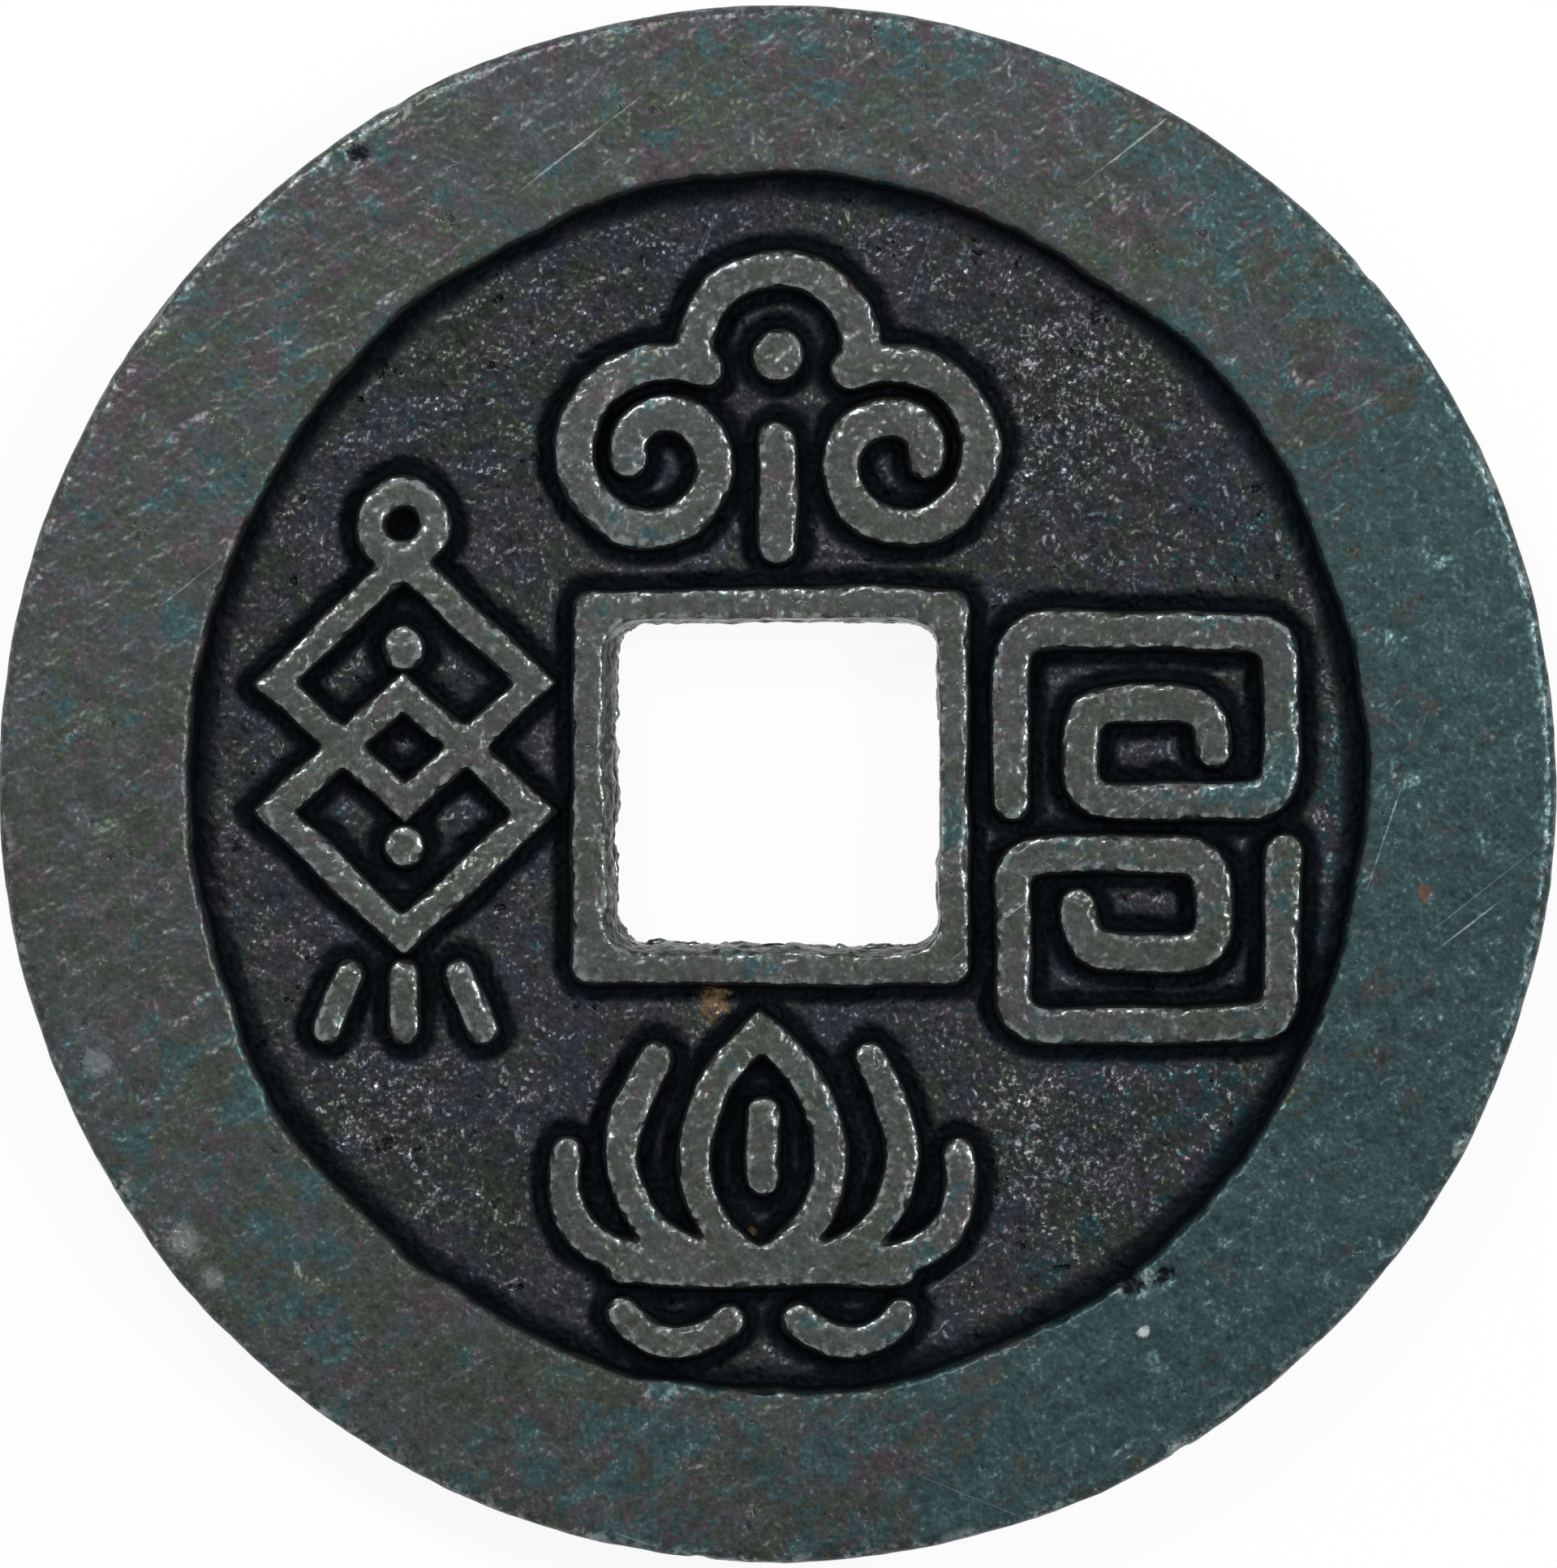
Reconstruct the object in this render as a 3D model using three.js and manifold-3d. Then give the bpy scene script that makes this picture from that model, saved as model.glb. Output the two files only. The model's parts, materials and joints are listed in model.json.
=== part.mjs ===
// A cast bronze cash coin of the value-two size, lying on its plain reverse with the obverse up.
// A broad outer rim stands round a thin web, the field, with a square hole and a narrow inner rim.
// Four raised ornaments fill the field: a cloud head, a double fret, a lotus and a lozenge pendant.
// Units are millimetres. The origin is the centre of the hole, on the plane of the reverse rim.

import * as THREE from "three";
import { mergeVertices } from "three/addons/utils/BufferGeometryUtils.js";
import Module from "manifold-3d";

const wasm = await Module();
wasm.setup();

// Driving dimensions of the casting
const COIN_DIAMETER = 30.0;
const RIM_THICKNESS = 1.9;
const REVERSE_RECESS = 0.4;
const WEB_THICKNESS = 0.95;
const EDGE_ROUND = 0.22;
const EDGE_ROUND_INSET = 0.066;

// The field is a little taller than wide, and the rim's inner wall leans back by the draft
const FIELD_RADIUS = 11.4;
const FIELD_STRETCH_X = 0.983;
const FIELD_STRETCH_Y = 1.017;
const RIM_WALL_DRAFT = 0.16;

// Square hole and the inner rim round it, which stands a little left of and below the hole's centre
const HOLE_SIDE = 6.26;
const HOLE_CORNER = 0.6;
const INNER_RIM_SIDE = 7.58;
const INNER_RIM_OPENING = 6.5;
const INNER_RIM_CORNER = 0.36;
const INNER_RIM_DRAFT = 0.1;
const INNER_RIM_SHIFT = new THREE.Vector2(-0.14, -0.05);
const REVERSE_INNER_RIM_SIDE = 7.9;

// Raised work
const RELIEF_HEIGHT = 0.5;
const STROKE_DRAFT = 0.1;
const CLOUD_STROKE = 0.66;
const FRET_STROKE = 0.66;
const LOTUS_STROKE = 0.58;
const PENDANT_STROKE = 0.52;

// Facets
const ROUND_SEGMENTS = 96;
const CIRCLE_STEPS = 20;
const CORNER_STEPS = 4;
const CAP_STEPS = 6;
const STROKE_STEP = 0.4;
const WINDING_STEP_DEGREES = 18;
const SLIVER_SIZE = 0.004;

// Heights that follow from the driving dimensions
const FIELD_BOTTOM = REVERSE_RECESS;
const FIELD_TOP = FIELD_BOTTOM + WEB_THICKNESS;
const RELIEF_TOP = FIELD_TOP + RELIEF_HEIGHT;
const COIN_RADIUS = COIN_DIAMETER / 2;
const CUT_MARGIN = 1;
const ORIGIN = new THREE.Vector2(0, 0);
const HOLE_CENTRE = ORIGIN;

// Finish: dark patina over cast bronze, worn paler on what stands proud
const rimFinish = new THREE.MeshStandardMaterial({ color: 0x474d4e, roughness: 0.55, metalness: 0.6 });
const fieldFinish = new THREE.MeshStandardMaterial({ color: 0x2f3137, roughness: 0.7, metalness: 0.5 });
const reliefFinish = new THREE.MeshStandardMaterial({ color: 0x535856, roughness: 0.5, metalness: 0.65 });

// The closed solid of a geometry, ready to be joined or cut.
function solidOf(geometry) {
  const bare = geometry.index ? geometry.toNonIndexed() : geometry.clone();
  bare.deleteAttribute("normal");
  bare.deleteAttribute("uv");
  const merged = mergeVertices(bare, 1e-4);
  return new wasm.Manifold(
    new wasm.Mesh({
      numProp: 3,
      vertProperties: merged.attributes.position.array,
      triVerts: new Uint32Array(merged.index.array),
    }),
  );
}

// A named mesh of a joined or cut solid.
function meshOf(name, solid, material) {
  const made = solid.getMesh();
  const geometry = new THREE.BufferGeometry();
  geometry.setAttribute("position", new THREE.BufferAttribute(new Float32Array(made.vertProperties), 3));
  geometry.setIndex(new THREE.BufferAttribute(new Uint32Array(made.triVerts), 1));
  geometry.computeVertexNormals();
  const mesh = new THREE.Mesh(geometry, material);
  mesh.name = name;
  return mesh;
}

// A solid of revolution about Z from [radius, height] points that run upwards from axis to axis.
function revolved(profile) {
  const points = profile.map(([radius, height]) => new THREE.Vector2(radius, height));
  const lathe = new THREE.LatheGeometry(points, ROUND_SEGMENTS);
  lathe.rotateX(Math.PI / 2);
  return lathe;
}

// The same, stretched to the oval of the field.
function revolvedOval(profile) {
  return revolved(profile).scale(FIELD_STRETCH_X, FIELD_STRETCH_Y, 1);
}

// The outline of a square with rounded corners, counterclockwise.
function squareOutline(side, corner, centre) {
  const reach = side / 2 - corner;
  const points = [];
  for (let quarter = 0; quarter < 4; quarter += 1) {
    const across = quarter === 0 || quarter === 3 ? reach : -reach;
    const up = quarter < 2 ? reach : -reach;
    for (let step = 0; step <= CORNER_STEPS; step += 1) {
      const angle = ((quarter + step / CORNER_STEPS) * Math.PI) / 2;
      points.push(
        new THREE.Vector2(
          centre.x + across + corner * Math.cos(angle),
          centre.y + up + corner * Math.sin(angle),
        ),
      );
    }
  }
  return points;
}

// The outline of a circle, counterclockwise.
function circleOutline(radius, centre) {
  return Array.from({ length: CIRCLE_STEPS }, (_, step) => {
    const angle = (2 * Math.PI * step) / CIRCLE_STEPS;
    return new THREE.Vector2(centre.x + radius * Math.cos(angle), centre.y + radius * Math.sin(angle));
  });
}

// A closed block between two levels. Each level is an outline and, if the block is open, a hole in it,
// and both levels have the same number of points, so that straight walls join them.
function lofted(low, high) {
  const positions = [];
  const addTriangle = (...corners) => corners.forEach(({ x, y, z }) => positions.push(x, y, z));
  const raised = (loop, z) => loop.map(({ x, y }) => new THREE.Vector3(x, y, z));
  for (const [level, faces] of [
    [low, (a, b, c) => addTriangle(c, b, a)],
    [high, addTriangle],
  ]) {
    const loops = level.hole ? [level.outline, level.hole] : [level.outline];
    const corners = loops.flatMap((loop) => raised(loop, level.z));
    const flat = THREE.ShapeUtils.triangulateShape(
      level.outline.slice(),
      level.hole ? [level.hole.slice()] : [],
    );
    flat.forEach(([a, b, c]) => faces(corners[a], corners[b], corners[c]));
  }
  const addWall = (lowLoop, highLoop, facesOut) => {
    lowLoop.forEach((lowPoint, i) => {
      const next = (i + 1) % lowLoop.length;
      const quad = [lowPoint, lowLoop[next], highLoop[next], highLoop[i]];
      const [a, b, c, d] = facesOut ? quad : quad.reverse();
      addTriangle(a, b, c);
      addTriangle(a, c, d);
    });
  };
  addWall(raised(low.outline, low.z), raised(high.outline, high.z), true);
  if (low.hole) {
    addWall(raised(low.hole, low.z), raised(high.hole, high.z), false);
  }
  const geometry = new THREE.BufferGeometry();
  geometry.setAttribute("position", new THREE.Float32BufferAttribute(positions, 3));
  return solidOf(geometry);
}

// Outer rim: the full-thickness ring with its filed edge and its two leaning inner walls.
function outerRim() {
  const blank = revolved([
    [0, 0],
    [COIN_RADIUS - EDGE_ROUND, 0],
    [COIN_RADIUS - EDGE_ROUND_INSET, EDGE_ROUND_INSET],
    [COIN_RADIUS, EDGE_ROUND],
    [COIN_RADIUS, RIM_THICKNESS - EDGE_ROUND],
    [COIN_RADIUS - EDGE_ROUND_INSET, RIM_THICKNESS - EDGE_ROUND_INSET],
    [COIN_RADIUS - EDGE_ROUND, RIM_THICKNESS],
    [0, RIM_THICKNESS],
  ]);
  const slope = RIM_WALL_DRAFT / (RIM_THICKNESS - FIELD_TOP);
  const fieldOpening = revolvedOval([
    [0, -CUT_MARGIN],
    [FIELD_RADIUS + slope * (FIELD_BOTTOM + CUT_MARGIN), -CUT_MARGIN],
    [FIELD_RADIUS, FIELD_BOTTOM],
    [FIELD_RADIUS, FIELD_TOP],
    [FIELD_RADIUS + slope * (RIM_THICKNESS + CUT_MARGIN - FIELD_TOP), RIM_THICKNESS + CUT_MARGIN],
    [0, RIM_THICKNESS + CUT_MARGIN],
  ]);
  return solidOf(blank).subtract(solidOf(fieldOpening));
}

// Field: the thin web that fills the outer rim and carries all the raised work.
function field() {
  const web = revolvedOval([
    [0, FIELD_BOTTOM],
    [FIELD_RADIUS, FIELD_BOTTOM],
    [FIELD_RADIUS, FIELD_TOP],
    [0, FIELD_TOP],
  ]);
  const hole = squareOutline(HOLE_SIDE, HOLE_CORNER, HOLE_CENTRE);
  return solidOf(web).subtract(
    lofted({ outline: hole, z: -CUT_MARGIN }, { outline: hole, z: RIM_THICKNESS + CUT_MARGIN }),
  );
}

// Inner rim: a raised frame whose opening flares from the hole's own wall at the field to wide at its face.
function innerRim({ side, fieldZ, faceZ, faceCentre }) {
  const atField = {
    outline: squareOutline(side + 2 * INNER_RIM_DRAFT, INNER_RIM_CORNER, faceCentre),
    hole: squareOutline(HOLE_SIDE, HOLE_CORNER, HOLE_CENTRE),
    z: fieldZ,
  };
  const atFace = {
    outline: squareOutline(side, INNER_RIM_CORNER, faceCentre),
    hole: squareOutline(INNER_RIM_OPENING, HOLE_CORNER, faceCentre),
    z: faceZ,
  };
  return faceZ > fieldZ ? lofted(atField, atFace) : lofted(atFace, atField);
}

// Points of a line through corners, each corner rounded by the bend length.
function bentLine(corners, bend) {
  const points = corners.map(([x, y]) => new THREE.Vector2(x, y));
  const line = new THREE.CurvePath();
  let from = points[0];
  for (let i = 1; i < points.length - 1; i += 1) {
    const corner = points[i];
    const before = corner.clone().add(from.clone().sub(corner).setLength(bend));
    const after = corner.clone().add(points[i + 1].clone().sub(corner).setLength(bend));
    line.add(new THREE.LineCurve(from, before));
    line.add(new THREE.QuadraticBezierCurve(before, corner, after));
    from = after;
  }
  line.add(new THREE.LineCurve(from, points[points.length - 1]));
  return line.getPoints(CORNER_STEPS);
}

// Points of a cubic curve from its two ends and the two points that pull it.
function swayedLine(from, firstPull, secondPull, to) {
  const ends = [from, firstPull, secondPull, to].map(([x, y]) => new THREE.Vector2(x, y));
  const curve = new THREE.CubicBezierCurve(...ends);
  return curve.getSpacedPoints(Math.ceil(curve.getLength() / STROKE_STEP));
}

// Points of a line that winds about a centre while its radius runs evenly from one value to the other.
function windingLine({ centre, fromRadius, toRadius, fromDegrees, toDegrees }) {
  const steps = Math.ceil(Math.abs(toDegrees - fromDegrees) / WINDING_STEP_DEGREES);
  return Array.from({ length: steps + 1 }, (_, step) => {
    const angle = THREE.MathUtils.degToRad(THREE.MathUtils.lerp(fromDegrees, toDegrees, step / steps));
    const radius = THREE.MathUtils.lerp(fromRadius, toRadius, step / steps);
    return new THREE.Vector2(centre[0] + radius * Math.cos(angle), centre[1] + radius * Math.sin(angle));
  });
}

// The step sideways from a point of a line to the edge of a band along it, mitred between its neighbours.
function sideways(before, point, after, half) {
  const arriving = point.clone().sub(before).normalize();
  const leaving = after.clone().sub(point).normalize();
  const heading = arriving.add(leaving).normalize();
  return new THREE.Vector2(heading.y, -heading.x).multiplyScalar(half / heading.dot(leaving));
}

// The outline of a band of the given width along a line, with round ends, counterclockwise.
function bandOutline(line, width) {
  const beyondStart = line[0].clone().multiplyScalar(2).sub(line[1]);
  const beyondEnd = line.at(-1).clone().multiplyScalar(2).sub(line.at(-2));
  const neighbours = [beyondStart, ...line, beyondEnd];
  const sides = line.map((point, i) => sideways(neighbours[i], point, neighbours[i + 2], width / 2));
  const cap = (point, side) =>
    Array.from({ length: CAP_STEPS - 1 }, (_, step) =>
      point.clone().add(side.clone().rotateAround(ORIGIN, (Math.PI * (step + 1)) / CAP_STEPS)),
    );
  return [
    ...line.map((point, i) => point.clone().add(sides[i])),
    ...cap(line.at(-1), sides.at(-1)),
    ...line.map((point, i) => point.clone().sub(sides[i])).reverse(),
    ...cap(line[0], sides[0].clone().negate()),
  ];
}

// The two outlines of a closed band along a counterclockwise loop of points.
function closedBand(line, width) {
  const following = [...line.slice(1), line[0]];
  const sides = line.map((point, i) => sideways(line.at(i - 1), point, following[i], width / 2));
  return {
    outline: line.map((point, i) => point.clone().add(sides[i])),
    hole: line.map((point, i) => point.clone().sub(sides[i])),
  };
}

// A raised stroke along a line, of the given width at its face, with drafted sides and round ends.
function stroke(line, width) {
  return lofted(
    { outline: bandOutline(line, width + 2 * STROKE_DRAFT), z: FIELD_TOP },
    { outline: bandOutline(line, width), z: RELIEF_TOP },
  );
}

// A raised stroke that closes on itself along a loop of points.
function closedStroke(line, width) {
  return lofted(
    { ...closedBand(line, width + 2 * STROKE_DRAFT), z: FIELD_TOP },
    { ...closedBand(line, width), z: RELIEF_TOP },
  );
}

// A straight raised stroke.
function bar(from, to, width) {
  return stroke([new THREE.Vector2(...from), new THREE.Vector2(...to)], width);
}

// A round raised dot.
function dot([x, y], width) {
  const centre = new THREE.Vector2(x, y);
  return lofted(
    { outline: circleOutline(width / 2 + STROKE_DRAFT, centre), z: FIELD_TOP },
    { outline: circleOutline(width / 2, centre), z: RELIEF_TOP },
  );
}

// One solid of several that run into each other, without the slivers of their crossings.
function joined(solids) {
  return solids.reduce((all, next) => all.add(next)).simplify(SLIVER_SIZE);
}

// Cloud head above the hole: two volutes under a crest arch, with a pearl and a tail between them.
function cloudHead() {
  const VOLUTE_X = 2.3;
  const VOLUTE_Y = 6.25;
  const CREST_Y = 8.35;
  const leftVolute = windingLine({
    centre: [-VOLUTE_X, VOLUTE_Y],
    fromRadius: 1.95,
    toRadius: 0.55,
    fromDegrees: 62,
    toDegrees: 545,
  });
  const rightVolute = leftVolute.map(({ x, y }) => new THREE.Vector2(-x, y));
  const crest = windingLine({
    centre: [0, CREST_Y],
    fromRadius: 1.6,
    toRadius: 1.6,
    fromDegrees: -8,
    toDegrees: 188,
  });
  return {
    cloud_scroll: joined([
      stroke(leftVolute, CLOUD_STROKE),
      stroke(crest, CLOUD_STROKE),
      stroke(rightVolute, CLOUD_STROKE),
    ]),
    cloud_pearl: dot([0, CREST_Y - 0.1], 0.95),
    cloud_tail: bar([0, 6.6], [0, 4.55], CLOUD_STROKE),
  };
}

// Double fret right of the hole: two square windings, the lower one turned half round.
function doubleFret() {
  const CENTRE = [7.1, -0.85];
  const BEND = 0.7;
  const upper = [
    [4.5, -0.35],
    [4.5, 2.95],
    [9.7, 2.95],
    [9.7, -0.35],
    [5.8, -0.35],
    [5.8, 1.55],
    [8.4, 1.55],
    [8.4, 0.65],
  ];
  const lower = upper.map(([x, y]) => [2 * CENTRE[0] - x, 2 * CENTRE[1] - y]);
  return {
    fret_upper: stroke(bentLine(upper, BEND), FRET_STROKE),
    fret_lower: stroke(bentLine(lower, BEND), FRET_STROKE),
  };
}

// Lotus below the hole: a middle petal, two petals each side on a base bar, a seed and two waves.
function lotus() {
  const AXIS_X = -0.3;
  const BASE_Y = -9.35;
  const PETAL_FOOT_Y = BASE_Y + 0.12;
  const mirrored = ([x, y]) => [2 * AXIS_X - x, y];
  const bothSides = (...points) => [
    stroke(swayedLine(...points), LOTUS_STROKE),
    stroke(swayedLine(...points.map(mirrored)), LOTUS_STROKE),
  ];
  const petalSide = [[AXIS_X, PETAL_FOOT_Y], [-2.15, -8.3], [-1.95, -6.1], [AXIS_X, -4.75]];
  const leftSide = swayedLine(...petalSide).reverse();
  const rightSide = swayedLine(...petalSide.map(mirrored));
  const middlePetal = closedStroke([...rightSide.slice(0, -1), ...leftSide.slice(0, -1)], LOTUS_STROKE);
  const base = bar([AXIS_X - 2.7, BASE_Y], [AXIS_X + 2.7, BASE_Y], LOTUS_STROKE);
  const innerPetals = bothSides([-1.2, PETAL_FOOT_Y], [-3.3, -8.6], [-3.4, -6.9], [-2.35, -5.3]);
  const outerPetals = bothSides([-2.4, PETAL_FOOT_Y], [-3.9, -9.1], [-4.35, -8.2], [-4.05, -7.1]);
  const waves = bothSides([-3.0, -10.2], [-2.4, -10.95], [-1.6, -10.9], [-0.95, -10.3]);
  return {
    lotus_petals: joined([base, middlePetal, ...innerPetals, ...outerPetals]),
    lotus_seed: bar([AXIS_X, -6.35], [AXIS_X, -7.6], LOTUS_STROKE),
    lotus_wave_left: waves[0],
    lotus_wave_right: waves[1],
  };
}

// Pendant left of the hole: two interlaced lozenges under a ring, with pearls and a tassel of three.
function lozengePendant() {
  const AXIS_X = -7.2;
  const HALF_WIDTH = 2.5;
  const HALF_HEIGHT = 2.35;
  const UPPER_Y = 1.95;
  const LOWER_Y = -0.55;
  const RING_Y = 5.0;
  const RING_RADIUS = 0.62;
  const lozenge = (y) => {
    const corners = [
      new THREE.Vector2(AXIS_X + HALF_WIDTH, y),
      new THREE.Vector2(AXIS_X, y + HALF_HEIGHT),
      new THREE.Vector2(AXIS_X - HALF_WIDTH, y),
      new THREE.Vector2(AXIS_X, y - HALF_HEIGHT),
    ];
    return closedStroke(corners, PENDANT_STROKE);
  };
  const ring = closedStroke(circleOutline(RING_RADIUS, new THREE.Vector2(AXIS_X, RING_Y)), PENDANT_STROKE);
  const tassel = (fromX, toX) => bar([AXIS_X + fromX, -3.65], [AXIS_X + toX, -4.75], PENDANT_STROKE);
  return {
    double_lozenge: joined([lozenge(UPPER_Y), lozenge(LOWER_Y), ring]),
    lozenge_pearl_upper: dot([AXIS_X, UPPER_Y + 0.65], 0.75),
    lozenge_pearl_lower: dot([AXIS_X, LOWER_Y - 0.65], 0.75),
    tassel_left: tassel(-1.05, -1.5),
    tassel_middle: tassel(0, 0),
    tassel_right: tassel(1.05, 1.5),
  };
}

const coin = new THREE.Group();
coin.name = "cash_coin";
coin.add(meshOf("outer_rim", outerRim(), rimFinish));
coin.add(meshOf("field", field(), fieldFinish));
coin.add(
  meshOf(
    "inner_rim_obverse",
    innerRim({ side: INNER_RIM_SIDE, fieldZ: FIELD_TOP, faceZ: RELIEF_TOP, faceCentre: INNER_RIM_SHIFT }),
    reliefFinish,
  ),
);
coin.add(
  meshOf(
    "inner_rim_reverse",
    innerRim({ side: REVERSE_INNER_RIM_SIDE, fieldZ: FIELD_BOTTOM, faceZ: 0, faceCentre: HOLE_CENTRE }),
    reliefFinish,
  ),
);
for (const ornament of [cloudHead(), doubleFret(), lotus(), lozengePendant()]) {
  for (const [name, solid] of Object.entries(ornament)) {
    coin.add(meshOf(name, solid, reliefFinish));
  }
}

export default coin;
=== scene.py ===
"""A cast bronze cash coin lying obverse up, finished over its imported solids.

Shapes are worked in millimetres and brought to metres when a piece is set in place.
"""

import json
import logging
import math
from dataclasses import dataclass
from enum import Enum
from typing import Callable

import bmesh
import bpy
import numpy as np
from mathutils import Matrix, Vector, noise
from mathutils.kdtree import KDTree

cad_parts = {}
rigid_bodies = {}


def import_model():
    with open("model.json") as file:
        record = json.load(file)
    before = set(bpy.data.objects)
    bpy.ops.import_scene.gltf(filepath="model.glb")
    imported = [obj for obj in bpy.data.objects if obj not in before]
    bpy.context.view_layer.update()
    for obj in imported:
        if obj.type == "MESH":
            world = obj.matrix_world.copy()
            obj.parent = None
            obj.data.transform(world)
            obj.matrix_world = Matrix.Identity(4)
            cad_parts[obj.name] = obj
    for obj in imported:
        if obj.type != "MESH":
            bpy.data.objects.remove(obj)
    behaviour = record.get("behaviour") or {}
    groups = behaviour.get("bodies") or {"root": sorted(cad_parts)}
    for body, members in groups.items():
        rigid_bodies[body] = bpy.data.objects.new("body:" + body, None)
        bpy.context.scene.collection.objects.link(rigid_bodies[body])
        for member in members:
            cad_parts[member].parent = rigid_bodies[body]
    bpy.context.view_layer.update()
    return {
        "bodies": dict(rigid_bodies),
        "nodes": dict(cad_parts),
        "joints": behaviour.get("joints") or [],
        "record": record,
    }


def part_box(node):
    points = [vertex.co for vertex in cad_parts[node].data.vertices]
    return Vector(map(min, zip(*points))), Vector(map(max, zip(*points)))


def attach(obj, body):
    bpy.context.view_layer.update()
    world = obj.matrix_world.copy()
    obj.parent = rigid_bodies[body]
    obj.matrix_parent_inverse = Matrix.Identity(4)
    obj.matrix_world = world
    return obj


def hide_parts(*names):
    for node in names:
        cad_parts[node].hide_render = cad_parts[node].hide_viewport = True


log = logging.getLogger("cash_coin")

MM = 0.001
BODY = "root"
BRUSHED_DEGREES = 32.0


class Slot(Enum):
    """The record's material slots."""

    RIM = "rim"
    FIELD = "field"
    RELIEF = "relief"


# Sizes of the casting


@dataclass(frozen=True)
class CoinSizes:
    """The casting's main sizes in millimetres, read from the frame."""

    radius: float
    thickness: float
    field_bottom: float
    field_top: float
    relief_top: float
    field_reach_x: float
    field_reach_y: float
    hole_half: float

    @classmethod
    def from_frame(cls, hole_side: float = 6.26) -> "CoinSizes":
        """Reads the sizes.

        Args:
            hole_side: Side of the square hole in millimetres.

        Returns:
            The sizes in millimetres.
        """
        rim_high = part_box("outer_rim")[1] / MM
        field_low, field_high = (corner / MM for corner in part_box("field"))
        relief_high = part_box("cloud_scroll")[1] / MM
        return cls(
            radius=rim_high.x,
            thickness=rim_high.z,
            field_bottom=field_low.z,
            field_top=field_high.z,
            relief_top=relief_high.z,
            field_reach_x=field_high.x,
            field_reach_y=field_high.y,
            hole_half=hole_side / 2,
        )


# Mesh work shared by the pieces


def sample(points: np.ndarray, measure: Callable[[Vector], float]) -> np.ndarray:
    """Measures each point.

    Args:
        points: Points in millimetres, one a row.
        measure: Takes a point and gives its number.

    Returns:
        One number for each point.
    """
    return np.array([measure(Vector(point)) for point in points])


def grain(points: np.ndarray, size: float, octaves: int, seed: int) -> np.ndarray:
    """Samples fractal noise, about -1 to 1.

    Args:
        points: Points in millimetres, one a row.
        size: Size of the largest grains in millimetres.
        octaves: How many finer grains are laid over them.
        seed: Moves the pattern, so that no two uses match.

    Returns:
        One number for each point.
    """
    offset = Vector((17.3, 5.1, 29.7)) * seed
    return sample(points, lambda point: noise.fractal(point / size + offset, 0.9, 2.0, octaves))


def smoothstep(values: np.ndarray, low: float, high: float) -> np.ndarray:
    """Gives 0 below low and 1 above high, eased between them."""
    share = np.clip((values - low) / (high - low), 0.0, 1.0)
    return share * share * (3.0 - 2.0 * share)


class Skin:
    """The vertices of a piece, pushed about in millimetres before the piece is set in place."""

    def __init__(self, piece: bpy.types.Object) -> None:
        """Reads the piece's points.

        Args:
            piece: A mesh object whose mesh is in millimetres.
        """
        self.mesh = piece.data
        flat = np.empty(len(self.mesh.vertices) * 3)
        self.mesh.vertices.foreach_get("co", flat)
        self.points = flat.reshape(-1, 3)
        edges = np.empty(len(self.mesh.edges) * 2, dtype=np.int64)
        self.mesh.edges.foreach_get("vertices", edges)
        self.edges = edges.reshape(-1, 2)

    def normals(self) -> np.ndarray:
        """Finds the unit normal at each point, as the points now stand.

        Returns:
            One normal a row.
        """
        self.store()
        flat = np.empty(len(self.mesh.vertices) * 3, dtype=np.float32)
        self.mesh.vertex_normals.foreach_get("vector", flat)
        return flat.reshape(-1, 3).astype(float)

    def store(self) -> None:
        """Writes the points back to the mesh."""
        self.mesh.vertices.foreach_set("co", self.points.ravel())
        self.mesh.update()

    def push(self, amounts: np.ndarray) -> None:
        """Pushes each point along its normal by its amount."""
        self.points += self.normals() * amounts[:, None]

    def spread(self, values: np.ndarray) -> np.ndarray:
        """Averages the values at each point's neighbours.

        Args:
            values: One number, or one row of numbers, for each point.

        Returns:
            The averages, in the same form.
        """
        first, second = self.edges[:, 0], self.edges[:, 1]
        total = np.zeros_like(values)
        np.add.at(total, first, values[second])
        np.add.at(total, second, values[first])
        count = np.bincount(self.edges.ravel(), minlength=len(self.points)).astype(float)
        count = np.maximum(count, 1.0)
        return total / (count[:, None] if values.ndim == 2 else count)

    def edge_wear(self, sharp_radius: float = 0.13, blurs: int = 3) -> np.ndarray:
        """Finds how much each point stands out, as an edge does.

        Args:
            sharp_radius: Radius in millimetres of an edge that counts in full.
            blurs: How many times the result is blurred.

        Returns:
            0 on flats and in hollows, up to 1 on edges.
        """
        ends = self.points[self.edges]
        spacing = np.linalg.norm(ends[:, 0] - ends[:, 1], axis=1).mean()
        hollow = self.spread(self.points) - self.points
        bend = -(hollow * self.normals()).sum(axis=1) * 4.0 / spacing**2
        for _ in range(blurs):
            bend = 0.5 * bend + 0.5 * self.spread(bend)
        return np.clip(bend * sharp_radius, 0.0, 1.0)

    def mark(self, name: str, values: np.ndarray) -> None:
        """Keeps one number for each point, for the finish to read."""
        layer = self.mesh.attributes.new(name, "FLOAT", "POINT")
        layer.data.foreach_set("value", values.astype(np.float32))

    def set_in_place(self) -> None:
        """Stores the points in metres and shades the skin smooth."""
        self.store()
        self.mesh.transform(Matrix.Scale(MM, 4))
        self.mesh.polygons.foreach_set("use_smooth", [True] * len(self.mesh.polygons))
        self.mesh.update()


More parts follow.
